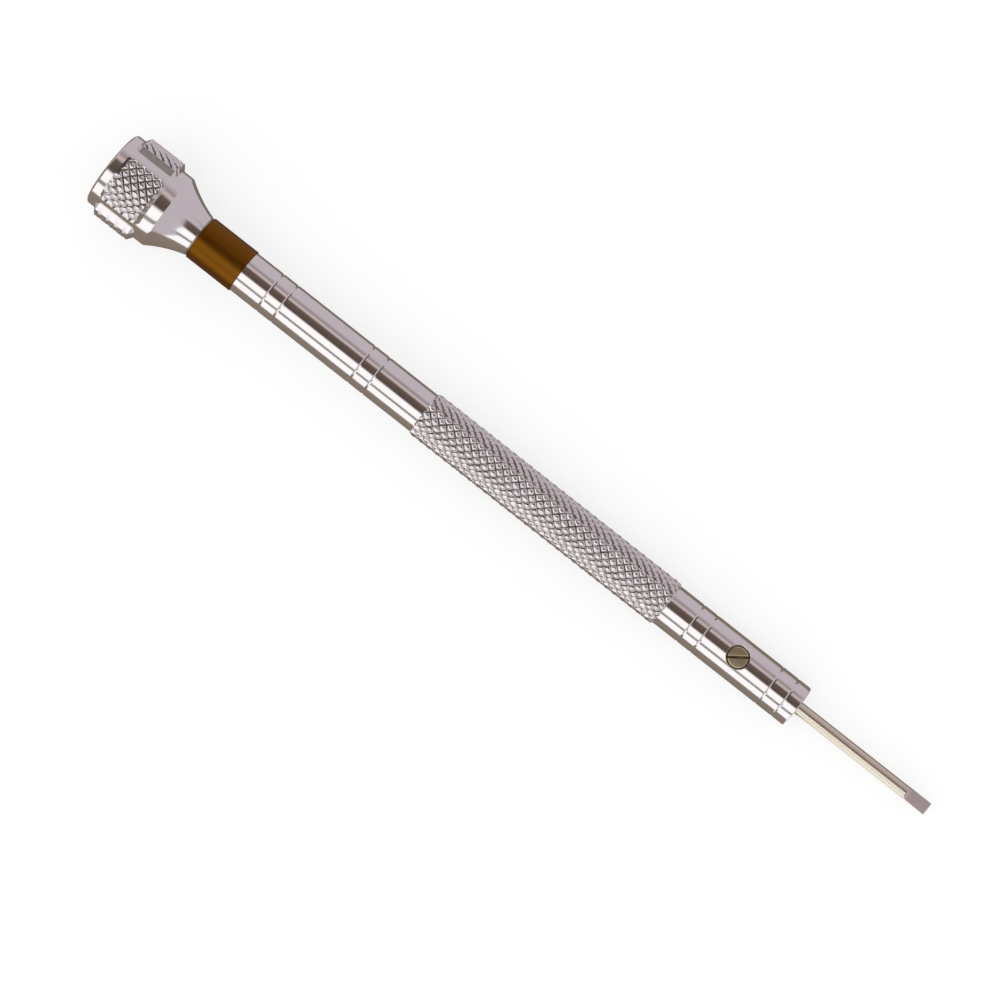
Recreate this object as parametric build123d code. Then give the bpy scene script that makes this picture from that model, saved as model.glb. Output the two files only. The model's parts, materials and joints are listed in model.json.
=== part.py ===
from build123d import *
import os
from math import atan2, cos, degrees, radians, sin, sqrt

# Watchmaker's screwdriver with a swivel finger head and a blade held by a clamp screw.
#
# Everything is drawn on the tool's own axis first: x is the distance from the finger end,
# the blade points towards +x and +z is the side that carries the clamp screw. The finished
# pieces are then laid down on the surface z = 0, as the tool rests on a bench.

# ---- driving dimensions, mm --------------------------------------------------------------

# head: a flared, chromed shell with four knurled pads
HEAD_R = 3.63            # cylinder between the pads
HEAD_END_R = 3.35        # flat of the finger end, inside the domed rim
HEAD_RIM_X = 0.20        # where the domed rim meets the cylinder
FLARE_X = 6.25           # crease where the flare to the neck begins
NECK_X = 9.65            # small end of the head
NECK_R = 2.03
FLARE_SAG = 0.17         # how far the flare is hollow, below a straight cone
PAD_R = 4.17
PAD_COUNT = 4
PAD_ARC = 66.5           # degrees round the head, over a pad's crown
PAD_WALL = 5.2           # degrees more on each side at the foot
PAD_TURN = 97.5          # degrees from +y towards +z, middle of the first pad
PAD_FOOT = (0.95, 5.17)
PAD_TOP = (1.30, 4.80)
PAD_ROOT_R = 3.30        # how deep a pad is carried into the shell

# inside the head
CAP_R = 2.90
CAP_X = 1.90             # inner face of the finger cap
DISH_R = 2.55            # finger hollow in the cap
DISH_DEPTH = 0.45
SEAT_R = 1.20
SEAT_X = 1.30
CAVITY_R = 2.20
BUSH_X = 5.60
BUSH_R = 1.45
END_PLAY = 0.02          # axial play of the head
RUNNING_GAP = 0.02       # radial play of the journals
BALL_R = 0.50

# spindle, pressed into the rear of the barrel
SPINDLE_R = 0.80
STEM_R = 0.95
STEM_END_X = 15.40
CLIP_X = 5.00
CLIP_T = 0.30
CLIP_R = 1.50
GROOVE_R = 0.55
GROOVE_W = 0.32
CUP_SETBACK = 0.06       # spindle end behind the middle of the ball
CLIP_WASHER_T = 0.20
CLIP_WASHER_R = 1.90

# barrel, colour ring and the washer between head and barrel
BARREL_X = 9.75
BARREL_END_X = 75.80
BARREL_R = 2.00
NOSE_BREAK = 0.12        # broken edge round the nose
WASHER_T = 0.08
WASHER_R = 1.95
SPIGOT_R = 1.55
RING_END_X = 14.60
RING_R = 2.10
RING_ROUND = 0.18
GRIP_X = (34.50, 61.40)
GRIP_R = 2.18
LINE_PAIRS = ((17.53, 19.13), (27.66, 29.25), (64.03, 65.50), (72.75, 74.45))
LINE_W = 0.20
LINE_DEPTH = 0.048

# blade
BLADE_R = 0.60
BLADE_LENGTH = 25.95
BLADE_TIP_X = 90.20
BLADE_BREAK = 0.10
BLADE_FIT = 0.015        # radial play of the blade in its bore
BORE_RELIEF = 0.25       # bore beyond the blade's rear end
BORE_MOUTH = 0.10        # chamfer at the bore's mouth
GRIND_LENGTH = 2.40      # ground flats, from the tip
GRIND_KNEE = 0.55        # length of the wheel's run-in
KNEE_HALF = 0.28         # half thickness at the end of the run-in
TIP_HALF = 0.11          # half thickness at the tip

# clamp screw
SCREW_X = 69.00
SCREW_LEAN = 6.2         # degrees round the barrel, from +z towards +y
SCREW_HEAD_R = 0.92
SCREW_TOP = 1.93         # top of the head, above the tool's axis
SCREW_SEAT = 1.30        # floor of the recess, above the tool's axis
SCREW_R = 0.50
SCREW_TIP_GAP = 0.03     # between screw and blade
SLOT_W = 0.26
SLOT_DEPTH = 0.32
SLOT_TURN = 36.0         # degrees from the tool's axis
RECESS_R = 1.03
HOLE_R = SCREW_R + RUNNING_GAP

EPS = 0.01


# ---- drawing helpers ---------------------------------------------------------------------

def turned(outline):
    """Turned piece: a closed outline of (x, radius) revolved about the tool's axis."""
    return revolve(make_face(outline), Axis.X, 360)


def plain_turned(points):
    """Turned piece whose outline has only straight sides."""
    return turned(Polyline(*points, close=True))


def disc(start_x, end_x, outer_r, inner_r=0.0):
    """Turned disc, tube or washer between two stations."""
    if inner_r == 0.0:
        corners = [(start_x, 0), (start_x, outer_r), (end_x, outer_r), (end_x, 0)]
    else:
        corners = [(start_x, inner_r), (start_x, outer_r), (end_x, outer_r), (end_x, inner_r)]
    return plain_turned(corners)


# ---- head --------------------------------------------------------------------------------

def head_shell():
    """Flared shell: cap seat and cavity bored from the finger end, bush bore at the neck."""
    rim_mid = (0.33 * HEAD_RIM_X, (HEAD_END_R + HEAD_R) / 2)
    flare_mid = ((FLARE_X + NECK_X) / 2, (HEAD_R + NECK_R) / 2 - FLARE_SAG)
    outline = [
        Line((0, CAP_R), (0, HEAD_END_R)),
        ThreePointArc((0, HEAD_END_R), rim_mid, (HEAD_RIM_X, HEAD_R)),
        Line((HEAD_RIM_X, HEAD_R), (FLARE_X, HEAD_R)),
        ThreePointArc((FLARE_X, HEAD_R), flare_mid, (NECK_X, NECK_R)),
        Polyline((NECK_X, NECK_R), (NECK_X, BUSH_R), (BUSH_X, BUSH_R), (BUSH_X, CAVITY_R),
                 (CAP_X, CAVITY_R), (CAP_X, CAP_R), (0, CAP_R)),
    ]
    shell = turned(outline)
    for number in range(PAD_COUNT):
        shell += grip_pad(PAD_TURN + number * 360 / PAD_COUNT)
    return shell


def grip_pad(middle):
    """One raised pad, with sloped ends and sides."""
    band = plain_turned([
        (PAD_FOOT[0], PAD_ROOT_R), (PAD_FOOT[0], HEAD_R), (PAD_TOP[0], PAD_R),
        (PAD_TOP[1], PAD_R), (PAD_FOOT[1], HEAD_R), (PAD_FOOT[1], PAD_ROOT_R)])
    crown, foot = radians(PAD_ARC / 2), radians(PAD_ARC / 2 + PAD_WALL)
    beyond = 1.3 * PAD_R
    flank = [(HEAD_R, foot), (PAD_R, crown), (beyond, crown)]
    corners = [(r * cos(turn), r * sin(turn)) for r, turn in flank]
    mirrored = [(y, -z) for y, z in reversed(corners)]
    wedge = Plane.YZ * make_face(Polyline((0, 0), *corners, *mirrored, close=True))
    return Rot(middle, 0, 0) * (band & extrude(wedge, PAD_FOOT[1] + EPS))


def finger_cap():
    """Cap pressed into the finger end, dished for the fingertip, with a pocket for the thrust seat."""
    dish = [
        ThreePointArc((DISH_DEPTH, 0), (0.76 * DISH_DEPTH, DISH_R / 2), (0, DISH_R)),
        Polyline((0, DISH_R), (0, CAP_R), (CAP_X, CAP_R), (CAP_X, SEAT_R), (SEAT_X, SEAT_R),
                 (SEAT_X, 0), (DISH_DEPTH, 0)),
    ]
    return turned(dish)


def thrust_seat():
    """Hardened disc in the cap's pocket, which runs on the ball."""
    return disc(SEAT_X, CAP_X, SEAT_R)


def thrust_ball():
    """Ball between the thrust seat and the spindle's cup."""
    return Pos(CAP_X + END_PLAY + BALL_R, 0, 0) * Sphere(BALL_R)


def head_bush():
    """Bronze bush pressed into the neck, which turns on the spindle."""
    return disc(BUSH_X, NECK_X, BUSH_R, SPINDLE_R + RUNNING_GAP)


# ---- pivot -------------------------------------------------------------------------------

def swivel_spindle():
    """Steel pivot: ball cup, clip groove, journal, and a thicker stem pressed into the barrel."""
    ball_x = CAP_X + END_PLAY + BALL_R
    front_x = ball_x + CUP_SETBACK
    cup_r = BALL_R + EPS
    lip_r = sqrt(cup_r ** 2 - CUP_SETBACK ** 2)
    slant = cup_r * sin(radians(45))
    outline = [
        ThreePointArc((ball_x + cup_r, 0), (ball_x + slant, slant), (front_x, lip_r)),
        Polyline((front_x, lip_r), (front_x, SPINDLE_R), (CLIP_X, SPINDLE_R), (CLIP_X, GROOVE_R),
                 (CLIP_X + GROOVE_W, GROOVE_R), (CLIP_X + GROOVE_W, SPINDLE_R),
                 (BARREL_X, SPINDLE_R), (BARREL_X, STEM_R), (STEM_END_X, STEM_R), (STEM_END_X, 0),
                 (ball_x + cup_r, 0)),
    ]
    return turned(outline)


def retaining_clip():
    """Spring-steel E-clip in the spindle's groove: three lugs on an open ring."""
    lug_turns = (90, 205, 335)
    ring = Circle(CLIP_R) - Circle(0.64 * CLIP_R)
    ring -= Pos(0, -CLIP_R) * Rectangle(1.10, 2 * CLIP_R)
    for turn in lug_turns:
        ring += Rot(0, 0, turn) * Pos(0.56 * CLIP_R, 0) * Rectangle(0.50, 0.50)
    ring -= Circle(GROOVE_R + EPS)
    return extrude(Plane.YZ.offset(CLIP_X + EPS) * ring, CLIP_T)


def clip_washer():
    """Steel washer between the clip and the bush, on the spindle."""
    end_x = BUSH_X - END_PLAY
    return disc(end_x - CLIP_WASHER_T, end_x, CLIP_WASHER_R, SPINDLE_R + EPS)


def neck_washer():
    """Thin washer on the spindle, between the head's neck and the barrel."""
    return disc(BARREL_X - WASHER_T, BARREL_X, WASHER_R, SPINDLE_R + EPS)


# ---- barrel ------------------------------------------------------------------------------

def barrel():
    """One turned bar: spigot, plain rear, raised grip, plain nose, ring lines and bores."""
    points = [(BARREL_X, 0), (BARREL_X, SPIGOT_R), (RING_END_X, SPIGOT_R), (RING_END_X, BARREL_R)]
    points += ring_lines(LINE_PAIRS[:2])
    step = GRIP_R - BARREL_R
    points += [(GRIP_X[0], BARREL_R), (GRIP_X[0] + step, GRIP_R),
               (GRIP_X[1] - step, GRIP_R), (GRIP_X[1], BARREL_R)]
    points += ring_lines(LINE_PAIRS[2:])
    points += [(BARREL_END_X - NOSE_BREAK, BARREL_R), (BARREL_END_X, BARREL_R - NOSE_BREAK),
               (BARREL_END_X, 0)]
    bar = plain_turned(points)
    bar -= disc(BARREL_X, STEM_END_X, STEM_R)
    return bar - blade_bore() - screw_seating()


def ring_lines(pairs):
    """Outline points of the engraved V lines round the barrel."""
    points = []
    for pair in pairs:
        for x in pair:
            points += [(x - LINE_W / 2, BARREL_R), (x, BARREL_R - LINE_DEPTH),
                       (x + LINE_W / 2, BARREL_R)]
    return points


def blade_bore():
    """Blind bore for the blade, with a chamfered mouth."""
    bore_r = BLADE_R + BLADE_FIT
    floor_x = BLADE_TIP_X - BLADE_LENGTH - BORE_RELIEF
    return plain_turned([
        (floor_x, 0), (floor_x, bore_r), (BARREL_END_X - BORE_MOUTH, bore_r),
        (BARREL_END_X, bore_r + BORE_MOUTH), (BARREL_END_X, 0)])


def screw_seating():
    """Flat-bottomed recess for the clamp screw's head, and its hole down to the blade bore."""
    recess = Cylinder(RECESS_R, BARREL_R, align=(Align.CENTER, Align.CENTER, Align.MIN))
    hole = Cylinder(HOLE_R, BARREL_R, align=(Align.CENTER, Align.CENTER, Align.MIN))
    return at_screw(Pos(0, 0, SCREW_SEAT) * recess + hole)


def colour_ring():
    """Colour-coded ring pressed over the barrel's spigot, rounded at the head end."""
    bend = RING_ROUND * (1 - cos(radians(45)))
    outline = [
        Line((BARREL_X, SPIGOT_R), (BARREL_X, RING_R - RING_ROUND)),
        ThreePointArc((BARREL_X, RING_R - RING_ROUND), (BARREL_X + bend, RING_R - bend),
                      (BARREL_X + RING_ROUND, RING_R)),
        Polyline((BARREL_X + RING_ROUND, RING_R), (RING_END_X, RING_R), (RING_END_X, SPIGOT_R),
                 (BARREL_X, SPIGOT_R)),
    ]
    return turned(outline)


# ---- blade and clamp screw ---------------------------------------------------------------

def blade():
    """Round hardened blade with a screwdriver tip ground on two sides."""
    rear_x = BLADE_TIP_X - BLADE_LENGTH
    shank = plain_turned([
        (rear_x, 0), (rear_x, BLADE_R - BLADE_BREAK), (rear_x + BLADE_BREAK, BLADE_R),
        (BLADE_TIP_X, BLADE_R), (BLADE_TIP_X, 0)])
    grind = tip_grind()
    return shank - grind - grind.mirror(Plane.XY)


def tip_grind():
    """Metal taken off one side of the tip: a short hollow run-in, then a straight taper."""
    start = BLADE_TIP_X - GRIND_LENGTH
    knee = start + GRIND_KNEE
    hollow = (start + 0.42 * GRIND_KNEE, BLADE_R - 0.60 * (BLADE_R - KNEE_HALF))
    above = 2 * BLADE_R
    side = [
        ThreePointArc((start, BLADE_R), hollow, (knee, KNEE_HALF)),
        Polyline((knee, KNEE_HALF), (BLADE_TIP_X + EPS, TIP_HALF), (BLADE_TIP_X + EPS, above),
                 (start, above), (start, BLADE_R)),
    ]
    return extrude(Plane.XZ * make_face(side), amount=above, both=True)


def clamp_screw():
    """Slotted cheese-head screw, seated in the recess with its tip on the blade."""
    tip = BLADE_R + SCREW_TIP_GAP
    seat = SCREW_SEAT + END_PLAY
    up = (Align.CENTER, Align.CENTER, Align.MIN)
    head = Pos(0, 0, seat) * Cylinder(SCREW_HEAD_R, SCREW_TOP - seat, align=up)
    head = chamfer(head.edges().group_by(Axis.Z)[-1], 0.06)
    shank = Pos(0, 0, tip) * Cylinder(SCREW_R, seat - tip, align=up)
    slot = Pos(0, 0, SCREW_TOP - SLOT_DEPTH) * Rot(0, 0, SLOT_TURN) * Box(
        3 * SCREW_HEAD_R, SLOT_W, BARREL_R, align=up)
    return at_screw(head + shank - slot)


def at_screw(piece):
    """Put a piece drawn on its own z axis at the clamp screw's place on the barrel."""
    return Pos(SCREW_X, 0, 0) * Rot(-SCREW_LEAN, 0, 0) * piece


# ---- laying the tool down ----------------------------------------------------------------

REST_HEAD = (PAD_TOP[1], PAD_R)                       # the two circles that touch the bench
REST_NOSE = (BARREL_END_X - NOSE_BREAK, BARREL_R)
TILT = atan2(REST_HEAD[1] - REST_NOSE[1], REST_NOSE[0] - REST_HEAD[0])
LIFT = REST_NOSE[0] * sin(TILT) + REST_NOSE[1] * cos(TILT)
REAR_REACH = -HEAD_END_R * sin(TILT)
FRONT_REACH = BLADE_TIP_X * cos(TILT) + TIP_HALF * sin(TILT)
LAID_DOWN = Pos(-(REAR_REACH + FRONT_REACH) / 2, 0, LIFT) * Rot(0, degrees(TILT), 0)

PIECES = {
    "head_shell": head_shell,
    "finger_cap": finger_cap,
    "thrust_seat": thrust_seat,
    "thrust_ball": thrust_ball,
    "head_bush": head_bush,
    "swivel_spindle": swivel_spindle,
    "retaining_clip": retaining_clip,
    "clip_washer": clip_washer,
    "neck_washer": neck_washer,
    "barrel": barrel,
    "colour_ring": colour_ring,
    "blade": blade,
    "clamp_screw": clamp_screw,
}


def main():
    os.makedirs("parts", exist_ok=True)
    for name, make in PIECES.items():
        piece = LAID_DOWN * make()
        piece.label = name
        export_step(piece, f"parts/{name}.step")


main()
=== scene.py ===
import json
from math import atan2, cos, degrees, floor, hypot, pi, radians, sin, sqrt
from random import Random

import bpy
from mathutils import Matrix, Vector


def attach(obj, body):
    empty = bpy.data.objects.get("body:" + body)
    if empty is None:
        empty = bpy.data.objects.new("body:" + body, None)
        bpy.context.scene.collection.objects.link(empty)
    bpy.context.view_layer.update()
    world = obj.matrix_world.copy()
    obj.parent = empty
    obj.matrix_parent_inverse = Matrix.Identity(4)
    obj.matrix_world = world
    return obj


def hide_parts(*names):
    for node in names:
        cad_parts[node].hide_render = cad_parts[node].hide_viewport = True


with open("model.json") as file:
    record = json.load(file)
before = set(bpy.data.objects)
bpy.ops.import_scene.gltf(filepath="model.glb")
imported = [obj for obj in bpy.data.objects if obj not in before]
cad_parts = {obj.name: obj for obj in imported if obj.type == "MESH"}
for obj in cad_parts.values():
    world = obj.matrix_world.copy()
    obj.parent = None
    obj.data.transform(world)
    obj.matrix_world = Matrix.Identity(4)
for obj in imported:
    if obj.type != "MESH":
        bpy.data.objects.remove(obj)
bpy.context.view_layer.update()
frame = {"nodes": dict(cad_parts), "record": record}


# ---- Barrel ------------------------------------------------------------------------------
# One bar of brass, turned on a small lathe with a spigot for the colour ring at its rear end.
# A diamond knurl is rolled into the raised grip, four pairs of lines are engraved round it,
# the nose is bored for the blade, and all of it is chromed.

mounts = {mount["name"]: mount for mount in frame["record"]["mounts"]}
tool_axis = Vector(mounts["blade_tip"]["axis"]).normalized()
tool_side = Vector((0, 1, 0))
tool_length = 90.20                      # mm, finger end to blade tip
finger_end = Vector(mounts["blade_tip"]["pos_m"]) - tool_axis * tool_length / 1000
tool_turn = Matrix((tool_axis, tool_side, tool_axis.cross(tool_side))).transposed().to_4x4()

# Pieces are drawn in millimetres on the tool's own axis, x from the finger end towards the
# blade, and this matrix lays them down where the tool rests, in metres.
laid_down = Matrix.Translation(finger_end) @ tool_turn @ Matrix.Scale(0.001, 4)


def even_turns(count):
    """Angles of evenly spaced columns round the axis."""
    return [2 * pi * j / count for j in range(count)]


def turned(outline, turns, shape=None):
    """Points and faces of an outline of (x, radius) carried round the axis, closed or with poles."""
    points, rings = [], []
    for x, r in outline:
        first = len(points)
        if r == 0:
            points.append((x, 0, 0))
            rings.append([first] * len(turns))
            continue
        for turn in turns:
            radius = shape(x, r, turn) if shape else r
            points.append((x, radius * cos(turn), radius * sin(turn)))
        rings.append(range(first, first + len(turns)))
    if outline[0][1] > 0:
        rings.append(rings[0])
    faces = []
    for ring, following in zip(rings, rings[1:]):
        for j in range(len(turns)):
            k = (j + 1) % len(turns)
            faces += split_on_crease(points, (ring[j], ring[k], following[k], following[j]))
    return points, faces


def split_on_crease(points, corners):
    """A face as it is, or as two triangles that meet along its more level diagonal."""
    distinct = list(dict.fromkeys(corners))
    if len(distinct) < 4:
        return [distinct]
    reach = [hypot(points[corner][1], points[corner][2]) for corner in corners]
    if max(abs(reach[0] - reach[1]), abs(reach[2] - reach[3])) < 1e-6:
        return [distinct]
    a, b, c, d = corners
    if abs(reach[0] - reach[2]) <= abs(reach[1] - reach[3]):
        return [[a, b, c], [a, c, d]]
    return [[a, b, d], [b, c, d]]


def make_piece(name, points, faces, material):
    """Mesh object still in millimetres, in one material."""
    mesh = bpy.data.meshes.new(name)
    mesh.from_pydata(points, [], faces)
    mesh.materials.append(material)
    piece = bpy.data.objects.new(name, mesh)
    bpy.context.scene.collection.objects.link(piece)
    return piece


def mark_grooves(piece, grime_and_shade_at):
    """Note on each point how much grime settles there and how much painted shade it gets, from 0 to 1."""
    groove = piece.data.attributes.new("groove", "FLOAT", "POINT")
    shares = [min(max(grime_and_shade_at(point.co), 0), 1) for point in piece.data.vertices]
    groove.data.foreach_set("value", shares)


def fit(piece, body, slot, *nodes, crease=35):
    """Shade the finished piece, lay it down and let it stand for its CAD nodes on its body."""
    mesh = piece.data
    mesh.transform(laid_down)
    mesh.polygons.foreach_set("use_smooth", [True] * len(mesh.polygons))
    mesh.set_sharp_from_angle(angle=radians(crease))
    mesh.update()
    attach(piece, body)
    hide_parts(*nodes)


def add_node(tree, kind, **settings):
    """Node of one kind in a shader tree, with its properties set."""
    node = tree.nodes.new(kind)
    for name, value in settings.items():
        setattr(node, name, value)
    return node


def feed(tree, socket, value):
    """Set a socket to a number or colour, or link it to another node's output."""
    if isinstance(value, bpy.types.NodeSocket):
        tree.links.new(value, socket)
    else:
        socket.default_value = value


def maths(tree, operation, *values):
    """Output of a maths node fed by numbers or other outputs."""
    node = add_node(tree, "ShaderNodeMath", operation=operation)
    for socket, value in zip(node.inputs, values):
        feed(tree, socket, value)
    return node.outputs[0]


def spread(tree, value, low, high, to_low=0.0, to_high=1.0):
    """A value's stretch from low to high, spread smoothly over another range."""
    node = add_node(tree, "ShaderNodeMapRange", interpolation_type="SMOOTHSTEP")
    for label, number in zip(("From Min", "From Max", "To Min", "To Max"), (low, high, to_low, to_high)):
        node.inputs[label].default_value = number
    tree.links.new(value, node.inputs["Value"])
    return node.outputs["Result"]


def noise(tree, place, scale, detail, seed, distortion=0.0):
    """Noise over a place, in its own random pattern for each seed."""
    node = add_node(tree, "ShaderNodeTexNoise", noise_dimensions="4D")
    node.inputs["Scale"].default_value = scale
    node.inputs["Detail"].default_value = detail
    node.inputs["Distortion"].default_value = distortion
    feed(tree, node.inputs["Vector"], place)
    feed(tree, node.inputs["W"], seed)
    return node.outputs["Fac"]


def place_on(tree, axes):
    """Place on the piece in millimetres along a matrix's axes; it stays with the piece as it moves."""
    where = add_node(tree, "ShaderNodeTexCoord")
    to_axes = add_node(tree, "ShaderNodeMapping")
    offset, turn, scale = axes.inverted().decompose()
    to_axes.inputs["Location"].default_value = offset
    to_axes.inputs["Rotation"].default_value = turn.to_euler()
    to_axes.inputs["Scale"].default_value = scale
    tree.links.new(where.outputs["Object"], to_axes.inputs["Vector"])
    return to_axes.outputs["Vector"]


def new_group(name, numbers, outputs):
    """Shader node group that takes a place and some numbers, with its input and output nodes."""
    tree = bpy.data.node_groups.new(name, "ShaderNodeTree")
    tree.interface.new_socket("Place", in_out="INPUT", socket_type="NodeSocketVector")
    for label, value in numbers.items():
        socket = tree.interface.new_socket(label, in_out="INPUT", socket_type="NodeSocketFloat")
        socket.default_value = value
    for label in outputs:
        tree.interface.new_socket(label, in_out="OUTPUT", socket_type="NodeSocketFloat")
    return tree, tree.nodes.new("NodeGroupInput").outputs, tree.nodes.new("NodeGroupOutput").inputs


def lathe_marks_group():
    """Fine rings that a lathe tool leaves: round the sides, and in circles on the end faces."""
    tree, given, out = new_group("lathe marks", {"Pitch": 0.05, "Seed": 0.0}, ["Height"])
    along = add_node(tree, "ShaderNodeSeparateXYZ")
    tree.links.new(given["Place"], along.inputs[0])
    square_y = maths(tree, "MULTIPLY", along.outputs["Y"], along.outputs["Y"])
    square_z = maths(tree, "MULTIPLY", along.outputs["Z"], along.outputs["Z"])
    radius = maths(tree, "SQRT", maths(tree, "ADD", square_y, square_z))
    rings = maths(tree, "DIVIDE", maths(tree, "ADD", along.outputs["X"], radius), given["Pitch"])
    ring_noise = add_node(tree, "ShaderNodeTexNoise", noise_dimensions="1D")
    ring_noise.inputs["Scale"].default_value = 1
    ring_noise.inputs["Detail"].default_value = 3
    ring_noise.inputs["Roughness"].default_value = 0.6
    tree.links.new(maths(tree, "ADD", rings, given["Seed"]), ring_noise.inputs["W"])
    tree.links.new(ring_noise.outputs["Fac"], out["Height"])
    return tree


def handling_group():
    """Faint smears and hair-fine scratches from fingers and other tools."""
    tree, given, out = new_group("handling", {"Seed": 0.0}, ["Smear", "Scratch"])
    smear = noise(tree, given["Place"], 0.55, 4, given["Seed"], distortion=0.8)
    tree.links.new(spread(tree, smear, 0.42, 0.68), out["Smear"])
    drag = add_node(tree, "ShaderNodeMapping")
    drag.inputs["Rotation"].default_value = (0.3, 0.5, 0.4)
    drag.inputs["Scale"].default_value = (0.5, 14, 14)
    tree.links.new(given["Place"], drag.inputs["Vector"])
    scratch = noise(tree, drag.outputs["Vector"], 1, 2, given["Seed"])
    tree.links.new(spread(tree, scratch, 0.66, 0.74), out["Scratch"])
    return tree


def grime_and_shade_group():
    """Oil and dust held in cuts, darkened further with painted shade: thickest at the bottom of knurl
    grooves and engraved lines.
    """
    tree, given, out = new_group("grime and painted shade", {"Seed": 0.0}, ["Mask"])
    groove = add_node(tree, "ShaderNodeAttribute", attribute_name="groove")
    deep = maths(tree, "POWER", groove.outputs["Fac"], 1.4)
    patches = noise(tree, given["Place"], 1.3, 3, given["Seed"])
    uneven = spread(tree, patches, 0.3, 0.7, to_low=0.6)
    tree.links.new(maths(tree, "MULTIPLY", deep, uneven), out["Mask"])
    return tree


lathe_marks = lathe_marks_group()
handling = handling_group()
grime_and_painted_shade = grime_and_shade_group()


def effect(tree, group, place, **numbers):
    """Outputs of a shared effect, placed in a material with its own values."""
    node = add_node(tree, "ShaderNodeGroup", node_tree=group)
    tree.links.new(place, node.inputs["Place"])
    for label, value in numbers.items():
        node.inputs[label].default_value = value
    return node.outputs


def metal(name, colour, stain_and_shade, roughness, pitch, mark_depth, smear=0.05, seed=0.0, axes=laid_down):
    """Turned metal: its colour stained and darkened with painted shade in the cuts, lathe marks in its
    surface, and light handling.
    """
    material = bpy.data.materials.new(name)
    material.use_nodes = True
    tree = material.node_tree
    shader = tree.nodes["Principled BSDF"]
    shader.inputs["Metallic"].default_value = 1
    place = place_on(tree, axes)
    grime_and_shade = effect(tree, grime_and_painted_shade, place, Seed=seed)
    touched = effect(tree, handling, place, Seed=seed)
    marks = effect(tree, lathe_marks, place, Pitch=pitch, Seed=seed)

    # The groove mask mixes in the stain colour: real grime, and painted shade where the cuts are deep.
    tint = add_node(tree, "ShaderNodeMix", data_type="RGBA")
    tint.inputs["A"].default_value = (*colour, 1)
    tint.inputs["B"].default_value = (*stain_and_shade, 1)
    tree.links.new(grime_and_shade["Mask"], tint.inputs["Factor"])
    tree.links.new(tint.outputs["Result"], shader.inputs["Base Color"])

    smeared = maths(tree, "MULTIPLY_ADD", touched["Smear"], smear, roughness)
    scratched = maths(tree, "MULTIPLY_ADD", touched["Scratch"], 2 * smear, smeared)
    dulled = maths(tree, "MULTIPLY_ADD", grime_and_shade["Mask"], 0.25, scratched)
    tree.links.new(dulled, shader.inputs["Roughness"])

    bump = add_node(tree, "ShaderNodeBump")
    bump.inputs["Distance"].default_value = mark_depth / 1000
    tree.links.new(marks["Height"], bump.inputs["Height"])
    tree.links.new(bump.outputs["Normal"], shader.inputs["Normal"])
    return material


# Its stain is grime and painted shade, darkest where the knurl's grooves cross.
barrel_chrome = metal("barrel chrome", colour=(0.80, 0.78, 0.79), stain_and_shade=(0.05, 0.04, 0.035),
                      roughness=0.11, pitch=0.09, mark_depth=0.0004, smear=0.02, seed=1.0)

barrel_r = 2.00
barrel_rear_x, ring_end_x, barrel_end_x = 9.75, 14.60, 75.80
spigot_r, stem_r, stem_end_x = 1.55, 0.95, 15.40
grip_r, grip_start_x, grip_end_x = 2.18, 34.50, 61.40
line_pairs = ((17.53, 19.13), (27.66, 29.25), (64.03, 65.50), (72.75, 74.45))
line_width, line_depth = 0.22, 0.066
line_grime_and_shade = 0.1                         # grime and painted shade in the lines: the lines are wiped cleaner than the knurl, and their painted shade is lighter too
bore_r, bore_mouth, bore_floor_x = 0.615, 0.10, 64.00
nose_break = 0.12
edge_break = 0.03                        # sharp corners are broken by this much

knurl_steps = 8                          # points across one diamond
grip_starts = 16                         # grooves of each hand round the grip
grip_rows = 242
grip_row = (grip_end_x - grip_start_x) / grip_rows
grip_knurl_depth = 0.16
ridge = (0.0, 0.44, 0.78, 0.96, 1.0)     # rise from a groove's bottom to a diamond's crown
crown_lean = 0.05                        # mm that a diamond's crown may lean across its width

rolling = Random(4)
leans = [(rolling.uniform(-1, 1), rolling.uniform(-1, 1)) for diamond in range(grip_starts ** 2)]


def knurl_rises(around, along):
    """Rise from 0 to 1 out of the nearest groove of each hand, both places counted in pitches."""
    rises = []
    for place in (around + along, around - along):
        step = abs(place - round(place)) * knurl_steps
        low = min(int(step + 1e-6), len(ridge) - 2)
        rises.append(ridge[low] + (ridge[low + 1] - ridge[low]) * (step - low))
    return rises


def knurl_lean(around, along):
    """Height from -1 to 1 by which a diamond leans there, because the rolls never press quite evenly."""
    first, second = around + along, around - along
    row, column = floor(first) % grip_starts, floor(second) % grip_starts
    lean = leans[row * grip_starts + column]
    return (first % 1 - 0.5) * lean[0] + (second % 1 - 0.5) * lean[1]


def knurl_drop(around, along, depth):
    """How far the knurl's surface lies below its crowns."""
    rise = min(knurl_rises(around, along))
    return max(depth * (1 - rise) - crown_lean * rise * knurl_lean(around, along), 0)


def knurl_grime_and_shade(around, along):
    """Share of grime and painted shade in the knurl: most where two grooves cross, little along them."""
    lower, upper = sorted(knurl_rises(around, along))
    return (1 - lower) * (1 - 0.8 * upper)


def grip_envelope(x):
    """Radius over the crowns of the grip: a cylinder with a short cone at each end."""
    return min(barrel_r + min(x - grip_start_x, grip_end_x - x), grip_r)


def grip_place(x, turn):
    """Place on the grip round it and along it, in pitches of the knurl."""
    return turn / (2 * pi) * grip_starts, (x - grip_start_x) / (grip_row * knurl_steps)


def grip_shape(x, r, turn):
    """Radius of the barrel's surface, knurled between the ends of the grip."""
    if r < barrel_r or not grip_start_x < x < grip_end_x:
        return r
    return min(r, grip_r - knurl_drop(*grip_place(x, turn), grip_knurl_depth))


def engraved(pairs):
    """Outline of the shallow V lines cut round the barrel."""
    outline = []
    for x in sum(pairs, ()):
        outline += [(x - line_width / 2, barrel_r), (x, barrel_r - line_depth),
                    (x + line_width / 2, barrel_r)]
    return outline


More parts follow.
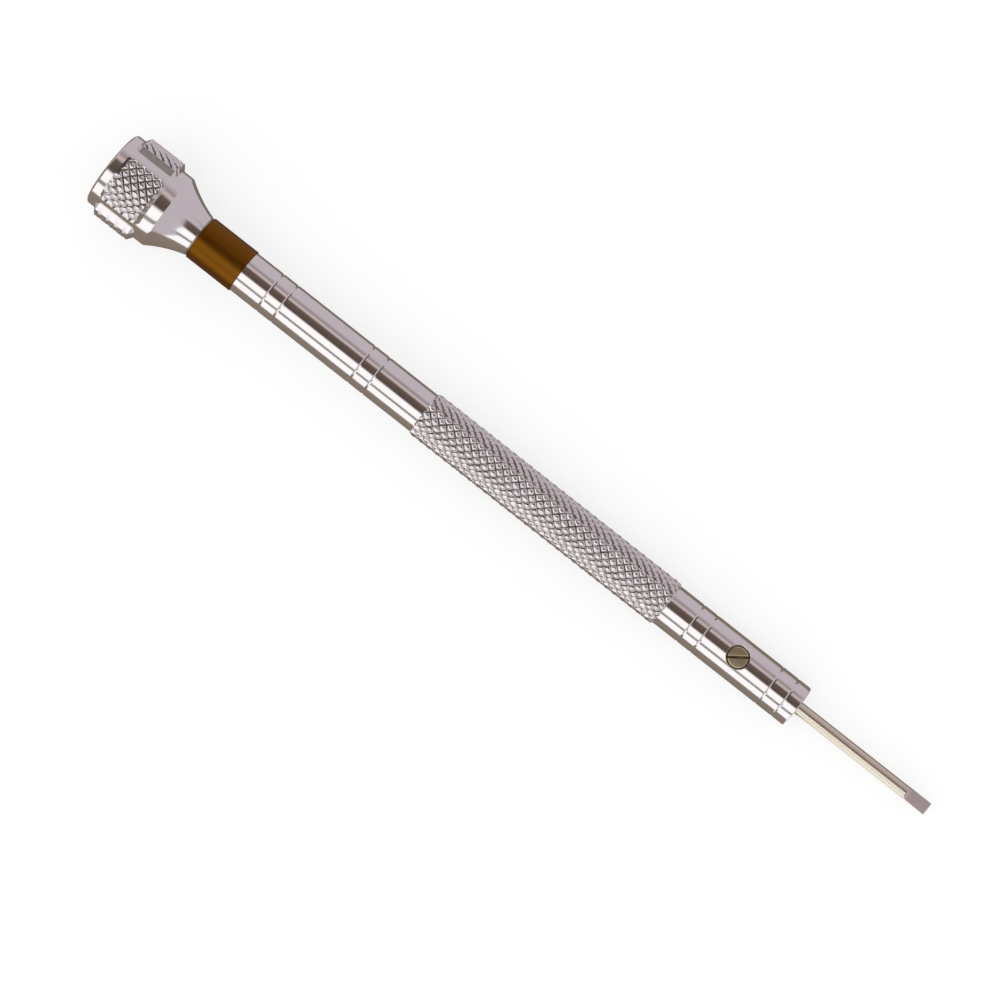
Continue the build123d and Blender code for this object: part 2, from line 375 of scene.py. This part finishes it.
def rounded(corner_x, corner_r, size, start, end, steps=4):
    """Points of an arc about a centre, from one angle to another, in degrees from +x."""
    points = []
    for step in range(steps + 1):
        angle = radians(start + (end - start) * step / steps)
        points.append((corner_x + size * cos(angle), corner_r + size * sin(angle)))
    return points


def barrel_groove(point):
    """Share of grime and painted shade that a point of the barrel gets in its knurl or in an engraved line.
    """
    r = hypot(point.y, point.z)
    if grip_start_x < point.x < grip_end_x and r > barrel_r:
        return knurl_grime_and_shade(*grip_place(point.x, atan2(point.z, point.y)))
    near_line = any(abs(point.x - x) < line_width for x in sum(line_pairs, ()))
    if near_line and r > barrel_r - 1.1 * line_depth:
        return line_grime_and_shade * (barrel_r - r) / line_depth
    return 0


barrel_outline = [(stem_end_x, 0), (stem_end_x, stem_r), (barrel_rear_x, stem_r),
                  (barrel_rear_x, spigot_r), (ring_end_x, spigot_r),
                  (ring_end_x, barrel_r - edge_break), (ring_end_x + edge_break, barrel_r)]
barrel_outline += engraved(line_pairs[:2])
for row in range(grip_rows + 1):
    row_x = grip_start_x + row * grip_row
    barrel_outline.append((row_x, grip_envelope(row_x)))
barrel_outline += engraved(line_pairs[2:])
barrel_outline += rounded(barrel_end_x - nose_break, barrel_r - nose_break, nose_break, 90, 0)
barrel_outline += [(barrel_end_x, bore_r + bore_mouth), (barrel_end_x - bore_mouth, bore_r),
                   (bore_floor_x, bore_r), (bore_floor_x, 0)]

barrel_turns = even_turns(grip_starts * knurl_steps)
barrel = make_piece("barrel_chromed", *turned(barrel_outline, barrel_turns, grip_shape), barrel_chrome)


# ---- Clamp screw and its seating ---------------------------------------------------------
# A slotted cheese-head screw of nickelled steel holds the blade. Its head sits in a flat
# recess, milled into the nose a few degrees round from the top, over the threaded hole.

screw_x, screw_lean = 69.00, 6.2         # mm along the tool, degrees from the top towards +y
screw_head_r, screw_r = 0.93, 0.50
screw_top, screw_seat, screw_tip = 1.93, 1.32, 0.63
screw_chamfer, head_round = 0.08, 0.09
recess_floor, recess_r, hole_r = 1.30, 0.98, 0.52
mill_above = 0.40                        # mm that the recess mill stands out of the barrel
# polishing has rolled the recess's rim over: (depth below the barrel's surface, widening)
rolled_rim = ((0.30, 0.0), (0.16, 0.02), (0.07, 0.06), (0.0, 0.13), (-0.15, 0.28))
slot_width, slot_depth, slot_turn = 0.22, 0.32, 36
slot_clean_unshaded = 0.10                        # mm below the head's face where no grime settles and no painted shade is put
slot_bevel, bevel_drop = 0.09, 0.075     # the slot's side towards the head is bevelled

# x along the screw, from the tool's axis outwards
screw_axes = (Matrix.Translation((screw_x, 0, 0)) @ Matrix.Rotation(radians(-screw_lean), 4, "X")
              @ Matrix(((0, 1, 0, 0), (0, 0, 1, 0), (1, 0, 0, 0), (0, 0, 0, 1))))


def cut_away(piece, cutter):
    """Take the cutter's volume out of the piece and throw the cutter away."""
    saw = piece.modifiers.new("cut", "BOOLEAN")
    saw.operation = "DIFFERENCE"
    saw.solver = "EXACT"
    saw.material_mode = "TRANSFER"
    saw.object = cutter
    scene_state = bpy.context.evaluated_depsgraph_get()
    mesh = bpy.data.meshes.new_from_object(piece.evaluated_get(scene_state))
    piece.modifiers.clear()
    whole, piece.data = piece.data, mesh
    bpy.data.meshes.remove(whole)
    bpy.data.objects.remove(cutter)


def block(profile, half_width):
    """Points and faces of a solid with this profile of (x, z), as wide each way along y."""
    count = len(profile)
    points = [(x, y, z) for y in (-half_width, half_width) for x, z in profile]
    faces = [tuple(range(count)), tuple(range(2 * count - 1, count - 1, -1))]
    faces += [(j, j + count, (j + 1) % count + count, (j + 1) % count) for j in range(count)]
    return points, faces


recess_outline = [(bore_r / 2, 0), (bore_r / 2, hole_r), (recess_floor, hole_r), (recess_floor, recess_r)]
recess_outline += [(barrel_r - depth, recess_r + widening) for depth, widening in rolled_rim]
recess_outline.append((barrel_r + mill_above, 0))
recess_mill = make_piece("recess_mill", *turned(recess_outline, even_turns(96)), barrel_chrome)
for point in recess_mill.data.vertices:
    if point.co.x > recess_floor + edge_break:
        point.co.x -= barrel_r - sqrt(barrel_r ** 2 - point.co.z ** 2)
recess_mill.data.transform(screw_axes)
cut_away(barrel, recess_mill)
mark_grooves(barrel, barrel_groove)
fit(barrel, "handle", "chrome_plate", "barrel", crease=28)

# Its stain is grime and painted shade, deepening down the slot.
screw_nickel = metal("screw nickel", colour=(0.62, 0.56, 0.38), stain_and_shade=(0.10, 0.08, 0.05),
                     roughness=0.34, pitch=0.07, mark_depth=0.0025, smear=0.08, seed=2.0,
                     axes=laid_down @ screw_axes)


def screw_groove(point):
    """Share of grime and painted shade on a point of the screw, which grows down the slot and the shank."""
    height = (screw_axes.inverted() @ point).x
    return (screw_top - slot_clean_unshaded - height) / (slot_depth - slot_clean_unshaded)


screw_outline = [(screw_tip, 0), (screw_tip, screw_r - screw_chamfer), (screw_tip + screw_chamfer, screw_r),
                 (screw_seat, screw_r), (screw_seat, screw_head_r - edge_break),
                 (screw_seat + edge_break, screw_head_r)]
screw_outline += rounded(screw_top - head_round, screw_head_r - head_round, head_round, 90, 0)
screw_outline += [(screw_top, screw_head_r / 2), (screw_top, 0)]
clamp_screw = make_piece("clamp_screw_slotted", *turned(screw_outline, even_turns(64)), screw_nickel)

saw_profile = [(screw_top + bevel_drop, -slot_width / 2),
               (screw_top + bevel_drop, slot_width / 2 + 2 * slot_bevel),
               (screw_top - bevel_drop, slot_width / 2), (screw_top - slot_depth, slot_width / 2),
               (screw_top - slot_depth, -slot_width / 2)]
slot_saw = make_piece("slot_saw", *block(saw_profile, 1.3 * screw_head_r), screw_nickel)
slot_saw.data.transform(Matrix.Rotation(radians(slot_turn), 4, "X"))
cut_away(clamp_screw, slot_saw)
clamp_screw.data.transform(screw_axes)
mark_grooves(clamp_screw, screw_groove)
fit(clamp_screw, "clamp_screw", "screw_nickel", "clamp_screw")


# ---- Blade -------------------------------------------------------------------------------
# Round rod of hardened carbon steel, ground bright. A grinding wheel has cut the two flats of
# the tip, which start in a short hollow and then run nearly straight to the square end.

blade_r, blade_length, blade_break = 0.60, 25.95, 0.10
blade_rear_x = tool_length - blade_length
grind_length, run_in, run_in_steps = 2.40, 0.55, 8
grind_margin, wheel_past_end = 0.30, 0.10
tip_break = 0.02
knee_half, tip_half = 0.28, 0.11

blade_steel = metal("blade steel", colour=(0.80, 0.74, 0.63), stain_and_shade=(0.20, 0.16, 0.10),
                    roughness=0.29, pitch=0.05, mark_depth=0.0003, seed=3.0)
flat_steel = metal("ground flat steel", colour=(0.72, 0.63, 0.63), stain_and_shade=(0.25, 0.2, 0.18),
                   roughness=0.45, pitch=0.03, mark_depth=0.0012, seed=4.0)

blade_outline = [(blade_rear_x, 0), (blade_rear_x, blade_r - blade_break),
                 (blade_rear_x + blade_break, blade_r),
                 (tool_length - grind_length - grind_margin, blade_r), (tool_length - tip_break, blade_r),
                 (tool_length, blade_r - tip_break), (tool_length, 0)]
blade = make_piece("blade_ground", *turned(blade_outline, even_turns(64)), blade_steel)


def grinding_wheel(side):
    """Solid of the metal ground off one side of the tip: a hollow run-in and a straight taper."""
    start = tool_length - grind_length
    profile = []
    for step in range(run_in_steps + 1):
        angle = radians(90 * step / run_in_steps)
        profile.append((start + run_in * (1 - cos(angle)), blade_r - (blade_r - knee_half) * sin(angle)))
    end = tool_length + wheel_past_end
    profile += [(end, tip_half), (end, 2 * blade_r), (start, 2 * blade_r)]
    if side < 0:
        profile = [(x, -z) for x, z in reversed(profile)]
    return make_piece("grinding_wheel", *block(profile, 2 * blade_r), flat_steel)


for side in (1, -1):
    cut_away(blade, grinding_wheel(side))
fit(blade, "blade", "blade_steel", "blade", crease=25)


# ---- Colour ring -------------------------------------------------------------------------
# Ring of aluminium, turned and anodised brown, which codes the blade's width. It is pressed
# over the barrel's spigot, and its end towards the head is rounded.

ring_r, ring_round = 2.10, 0.18

ring_brown = metal("brown anodising", colour=(0.20, 0.078, 0.0065), stain_and_shade=(0.10, 0.04, 0.01),
                   roughness=0.38, pitch=0.12, mark_depth=0.0016, smear=0.06, seed=5.0)

ring_outline = [(barrel_rear_x, spigot_r)]
ring_outline += rounded(barrel_rear_x + ring_round, ring_r - ring_round, ring_round, 180, 90, steps=6)
ring_outline += [(ring_end_x - edge_break, ring_r), (ring_end_x, ring_r - edge_break),
                 (ring_end_x, spigot_r)]
ring = make_piece("colour_ring_brown", *turned(ring_outline, even_turns(96)), ring_brown)
fit(ring, "handle", "brown_anodising", "colour_ring")


# ---- Spindle, clip and washers -----------------------------------------------------------
# The head turns on a steel spindle pressed into the barrel. An E-clip of spring steel holds
# the head on, with a hard washer under it and a thin one between the head and the barrel.

def finish_node(name, material):
    """Give a piece that keeps its CAD shape its finish."""
    for material_slot in frame["nodes"][name].material_slots:
        material_slot.material = material


spindle_steel = metal("spindle steel", colour=(0.56, 0.54, 0.51), stain_and_shade=(0.20, 0.17, 0.14),
                      roughness=0.24, pitch=0.06, mark_depth=0.0010, seed=6.0)
washer_steel = metal("washer steel", colour=(0.46, 0.44, 0.42), stain_and_shade=(0.20, 0.17, 0.14),
                     roughness=0.36, pitch=0.05, mark_depth=0.0015, seed=7.0)
spring_steel = metal("spring steel", colour=(0.17, 0.17, 0.19), stain_and_shade=(0.06, 0.06, 0.07),
                     roughness=0.38, pitch=0.20, mark_depth=0.0010, seed=8.0)

finish_node("swivel_spindle", spindle_steel)
finish_node("clip_washer", washer_steel)
finish_node("neck_washer", washer_steel)
finish_node("retaining_clip", spring_steel)


# ---- Head bearing ------------------------------------------------------------------------
# A polished ball in the spindle's cup takes the finger's push from a lapped steel seat, and
# a bronze bush, reamed to size and pressed into the head's neck, keeps the head in line.

ball_steel = metal("polished ball steel", colour=(0.66, 0.65, 0.64), stain_and_shade=(0.3, 0.3, 0.3),
                   roughness=0.06, pitch=0.40, mark_depth=0.0001, smear=0.02, seed=9.0)
seat_steel = metal("lapped seat steel", colour=(0.60, 0.59, 0.58), stain_and_shade=(0.3, 0.3, 0.3),
                   roughness=0.16, pitch=0.04, mark_depth=0.0004, seed=10.0)
bush_bronze = metal("bush bronze", colour=(0.72, 0.42, 0.17), stain_and_shade=(0.20, 0.10, 0.04),
                    roughness=0.32, pitch=0.07, mark_depth=0.0018, smear=0.08, seed=11.0)

finish_node("thrust_ball", ball_steel)
finish_node("thrust_seat", seat_steel)
finish_node("head_bush", bush_bronze)


# ---- Head shell --------------------------------------------------------------------------
# Brass, turned with a hollow flare down to the neck and bored from the finger end for the
# cap and the bearing. Milling between the four knurled grip pads leaves them standing, with
# sloped ends and sides, and the whole shell is chromed.

head_r, head_end_r, rim_x, rim_steps = 3.63, 3.35, 0.20, 5
crease_x, neck_x, neck_r = 6.25, 9.65, 2.03
flare_sag, flare_steps = 0.17, 24
cap_r, cap_x, cavity_r = 2.90, 1.90, 2.20
bush_r, bush_x = 1.45, 5.60
pad_r, pad_count, pad_arc, pad_turn = 4.17, 4, 66.5, 97.5
pad_foot, pad_top = (0.95, 5.17), (1.30, 4.80)
pad_wall = 6.05                          # degrees that a pad's side spreads down to its foot
pad_columns, pad_rows = 42, 32
gap_columns = 6
pad_knurl_depth = 0.18

# Its stain is grime and painted shade in the pads' knurl.
shell_chrome = metal("shell chrome", colour=(0.80, 0.78, 0.79), stain_and_shade=(0.04, 0.03, 0.03),
                     roughness=0.11, pitch=0.11, mark_depth=0.0004, smear=0.02, seed=12.0)


def pad_offset(turn):
    """Degrees round from the middle of the nearest pad."""
    share = 360 / pad_count
    return (degrees(turn) - pad_turn + share / 2) % share - share / 2


def pad_place(x, turn):
    """Place on a pad round it and along it, in pitches of the knurl."""
    around = pad_offset(turn) * pad_columns / (pad_arc * knurl_steps)
    return around, (x - pad_top[0]) / (pad_top[1] - pad_top[0]) * pad_rows / knurl_steps


def shell_shape(x, r, turn):
    """Radius of the shell's surface, with its pads raised and knurled."""
    aside = pad_offset(turn)
    if r < head_r or not pad_foot[0] <= x <= pad_foot[1] or abs(aside) > pad_arc / 2 + pad_wall:
        return r
    climb = min((x - pad_foot[0]) / (pad_top[0] - pad_foot[0]),
                (pad_foot[1] - x) / (pad_foot[1] - pad_top[1]),
                (pad_arc / 2 + pad_wall - abs(aside)) / pad_wall, 1)
    crown = pad_r - knurl_drop(*pad_place(x, turn), pad_knurl_depth)
    if abs(aside) > pad_arc / 2 - 0.1:       # the knurl stops at the edge of a pad
        crown = pad_r - edge_break
    return min(head_r + climb * (pad_r - head_r), crown)


def shell_groove(point):
    """Share of grime and painted shade that a point of the shell gets in the knurl of a pad."""
    r = hypot(point.y, point.z)
    on_pad = pad_top[0] <= point.x <= pad_top[1] and r > pad_r - 1.3 * pad_knurl_depth
    return knurl_grime_and_shade(*pad_place(point.x, atan2(point.z, point.y))) if on_pad else 0


def shell_turns():
    """Columns of the shell: close together over the pads, a few over each gap."""
    half, share = pad_arc / 2, 360 / pad_count
    gap = share - pad_arc - 2 * pad_wall      # between the feet of two pads
    turns = []
    for pad in range(pad_count):
        middle = pad_turn + pad * share
        turns.append(middle - half - pad_wall)
        turns += [middle - half + pad_arc * j / pad_columns for j in range(pad_columns + 1)]
        turns += [middle + half + pad_wall + gap * j / gap_columns for j in range(gap_columns)]
    return [radians(turn) for turn in turns]


def flare(share):
    """Point of the hollow flare, from the crease at 0 to the neck at 1."""
    straight = head_r + share * (neck_r - head_r)
    return crease_x + share * (neck_x - crease_x), straight - 4 * flare_sag * share * (1 - share)


shell_outline = [(cap_x, cap_r), (edge_break, cap_r), (0, cap_r + edge_break)]
for step in range(rim_steps + 1):
    share = step / rim_steps
    shell_outline.append((rim_x * share ** 1.6, head_end_r + (head_r - head_end_r) * share))
shell_outline.append((pad_foot[0], head_r))
for row in range(pad_rows + 1):
    shell_outline.append((pad_top[0] + (pad_top[1] - pad_top[0]) * row / pad_rows, head_r))
shell_outline += [(pad_foot[1], head_r), (crease_x - edge_break, head_r)]
shell_outline += [flare(step / flare_steps) for step in range(1, flare_steps + 1)]
shell_outline += [(neck_x, bush_r), (bush_x, bush_r), (bush_x, cavity_r), (cap_x, cavity_r)]

shell = make_piece("head_shell_chromed", *turned(shell_outline, shell_turns(), shell_shape), shell_chrome)
mark_grooves(shell, shell_groove)
fit(shell, "head", "chrome_plate", "head_shell")


# ---- Finger cap --------------------------------------------------------------------------
# Chromed brass cap, pressed into the end of the shell so that only a hairline shows round it.
# Its face is dished for the fingertip, and a pocket in its back holds the thrust seat.

dish_r, dish_depth, dish_steps = 2.55, 0.45, 16
seat_r, seat_x = 1.20, 1.30

cap_chrome = metal("cap chrome", colour=(0.80, 0.78, 0.79), stain_and_shade=(0.20, 0.17, 0.16),
                   roughness=0.15, pitch=0.10, mark_depth=0.0011, seed=13.0)

cap_outline = []
for step in range(dish_steps + 1):
    share = step / dish_steps
    cap_outline.append((dish_depth * (1 - share ** 2), dish_r * share))
cap_outline += [(0, dish_r + edge_break), (0, cap_r - edge_break), (edge_break, cap_r), (cap_x, cap_r),
                (cap_x, seat_r), (seat_x, seat_r), (seat_x, 0)]
cap = make_piece("finger_cap_dished", *turned(cap_outline, even_turns(96)), cap_chrome)
fit(cap, "head", "chrome_plate", "finger_cap")


# ---- Camera ------------------------------------------------------------------------------
# It looks straight down on the tool from a third of a metre, with the finger end at the upper
# left and the blade at the lower right.

camera_distance = 355                    # mm, from the tool's axis
view_width = 86.96                       # mm, at the tool's axis
aim = (44.39, -1.84)                     # mm, where the middle of the view meets the tool
view_roll = 38.2                         # degrees

camera = bpy.data.objects.new("camera", bpy.data.cameras.new("camera"))
bpy.context.scene.collection.objects.link(camera)
bpy.context.scene.camera = camera
camera.data.sensor_width = 36
camera.data.lens = camera.data.sensor_width * camera_distance / view_width
camera.data.clip_start = 0.01
camera.matrix_world = (Matrix.Translation(laid_down @ Vector((*aim, camera_distance)))
                       @ tool_turn @ Matrix.Rotation(radians(view_roll), 4, "Z"))


# ---- Bench and light ---------------------------------------------------------------------
# A pale bench, lit through from below, stands under a big soft light. Bright metal shows only
# what is round it, so a bent sheet of white, grey and brown card stands over the tool, seen in
# reflections alone.

bpy.context.scene.view_settings.view_transform = "Standard"

bench_reach = 4.0                        # m
bench_pale, bench_glow = 0.30, 0.72      # share of light thrown back, and light through the bench
bench_in_metal = (0.29, 0.235, 0.19, 1)   # duller and browner where the metal mirrors it


def stage_material(name):
    """Empty node material, with its tree and output."""
    material = bpy.data.materials.new(name)
    material.use_nodes = True
    material.node_tree.nodes.clear()
    return material, material.node_tree, add_node(material.node_tree, "ShaderNodeOutputMaterial")


def flat_sheet(name, low, high, height, material):
    """Level sheet between two corners."""
    corners = [(low[0], low[1], height), (high[0], low[1], height),
               (high[0], high[1], height), (low[0], high[1], height)]
    return make_piece(name, corners, [(0, 1, 2, 3)], material)


bench_finish, tree, out = stage_material("bench")
rays = add_node(tree, "ShaderNodeLightPath")
matt = add_node(tree, "ShaderNodeBsdfDiffuse")
matt.inputs["Color"].default_value = (bench_pale, bench_pale, bench_pale, 1)
lit = add_node(tree, "ShaderNodeEmission")
lit.inputs["Strength"].default_value = bench_glow
lit_matt = add_node(tree, "ShaderNodeAddShader")
tree.links.new(matt.outputs[0], lit_matt.inputs[0])
tree.links.new(lit.outputs[0], lit_matt.inputs[1])
dark = add_node(tree, "ShaderNodeBsdfDiffuse")
dark.inputs["Color"].default_value = bench_in_metal
seen = add_node(tree, "ShaderNodeMixShader")
tree.links.new(rays.outputs["Is Glossy Ray"], seen.inputs["Fac"])
tree.links.new(lit_matt.outputs[0], seen.inputs[1])
tree.links.new(dark.outputs[0], seen.inputs[2])
tree.links.new(seen.outputs[0], out.inputs["Surface"])
bench_finish.cycles.emission_sampling = "NONE"
bench = flat_sheet("bench", (-bench_reach, -bench_reach), (bench_reach, bench_reach), 0, bench_finish)

# Strips of the bent sheet, as (degrees from straight up towards +y, colour, reach in m from the
# middle towards the blade). Towards the head each strip reaches three times as far.
white, gap_grey, beige = (1.24, 1.22, 1.21), (0.33, 0.31, 0.29), (0.66, 0.55, 0.53)
brown, warm_brown, end_brown = (0.10, 0.065, 0.05), (0.15, 0.11, 0.09), (0.09, 0.07, 0.06)
shade, lavender = (0.38, 0.32, 0.33), (0.60, 0.54, 0.575)
tent_stops = ((-91, white, 0.21), (-57, white, 0.21), (-56, gap_grey, 0.25), (-45, gap_grey, 0.25),
              (-44, white, 0.28), (-15, white, 0.28), (-8, brown, 0.28), (25, warm_brown, 0.28),
              (31, beige, 0.13), (39, beige, 0.13), (43, shade, 0.13), (51, shade, 0.13),
              (62, lavender, 0.36), (91, lavender, 0.36))
tent_distance, head_share = 0.35, 3      # m, and how much further it reaches at the head


def show_in_reflections_only(sheet):
    """Let a sheet be seen in metal, and nowhere else."""
    sheet.visible_camera = False
    sheet.visible_diffuse = False
    sheet.visible_transmission = False
    sheet.visible_shadow = False


def glowing(name):
    """Material that glows in the colour written on the sheet's points."""
    material, tree, out = stage_material(name)
    written = add_node(tree, "ShaderNodeAttribute", attribute_name="glow")
    glow = add_node(tree, "ShaderNodeEmission")
    tree.links.new(written.outputs["Color"], glow.inputs["Color"])
    tree.links.new(glow.outputs[0], out.inputs["Surface"])
    material.cycles.emission_sampling = "NONE"
    return material


def write_glow(sheet, colours):
    """Write a colour on each point of a sheet."""
    glow = sheet.data.attributes.new("glow", "FLOAT_COLOR", "POINT")
    for mark, colour in zip(glow.data, colours):
        mark.color = (*colour, 1)
    show_in_reflections_only(sheet)


card_glow = glowing("glowing card")
over = laid_down @ Vector((aim[0], 0, 0))
tent_points, tent_colours = [], []
for angle, colour, reach in tent_stops:
    turn = radians(angle)
    for x in (over.x - head_share * reach, over.x + reach):
        tent_points.append((x, over.y + tent_distance * sin(turn), over.z + tent_distance * cos(turn)))
        tent_colours.append(colour)
tent_faces = [(2 * j, 2 * j + 1, 2 * j + 3, 2 * j + 2) for j in range(len(tent_stops) - 1)]
tent = make_piece("reflected_tent", tent_points, tent_faces, card_glow)
write_glow(tent, tent_colours)

# Cards lie on the bench beside the tool and by the blade, and one stands beyond the head.
card_reach, card_height = 0.36, 0.0003   # m
side_card = flat_sheet("side_card", (over.x - card_reach, 0.0070), (over.x + card_reach, 0.350),
                       card_height, card_glow)
write_glow(side_card, [lavender] * 4)
blade_front = (laid_down @ Vector((barrel_end_x + 0.4, 0, 0))).x
card_near, card_far, card_width, card_slant = -0.0008, -0.20, 0.05, 0.04
blade_corners = [(blade_front, card_near, card_height), (blade_front + card_width, card_near, card_height),
                 (blade_front + card_slant + card_width, card_far, card_height),
                 (blade_front + card_slant, card_far, card_height)]
blade_card = make_piece("blade_card", blade_corners, [(0, 1, 2, 3)], card_glow)
write_glow(blade_card, [(0.95, 0.95, 0.93)] * 4)
end_x, end_near, end_far, end_top = over.x - card_reach, -0.005, 0.30, 0.30
end_corners = [(end_x, end_near, 0), (end_x, end_far, 0),
               (end_x, end_far, end_top), (end_x, end_near, end_top)]
end_card = make_piece("end_card", end_corners, [(0, 1, 2, 3)], card_glow)
write_glow(end_card, [end_brown] * 4)

soft_light = bpy.data.objects.new("soft_light", bpy.data.lights.new("soft_light", "AREA"))
bpy.context.scene.collection.objects.link(soft_light)
soft_light.data.energy = 1.5
soft_light.data.size = 0.90
soft_light.location = (-0.15, -0.45, 0.65)
soft_light.rotation_euler = (-soft_light.location).to_track_quat("-Z", "Y").to_euler()
soft_light.visible_glossy = False

room_pale = 0.86
world = bpy.data.worlds.new("studio")
world.use_nodes = True
world.cycles.sampling_method = "NONE"
bpy.context.scene.world = world
tree = world.node_tree
rays = add_node(tree, "ShaderNodeLightPath")
room = add_node(tree, "ShaderNodeMix", data_type="RGBA")
room.inputs["A"].default_value = (room_pale, room_pale, room_pale, 1)
room.inputs["B"].default_value = (*lavender, 1)
tree.links.new(rays.outputs["Is Glossy Ray"], room.inputs["Factor"])
tree.links.new(room.outputs["Result"], tree.nodes["Background"].inputs["Color"])
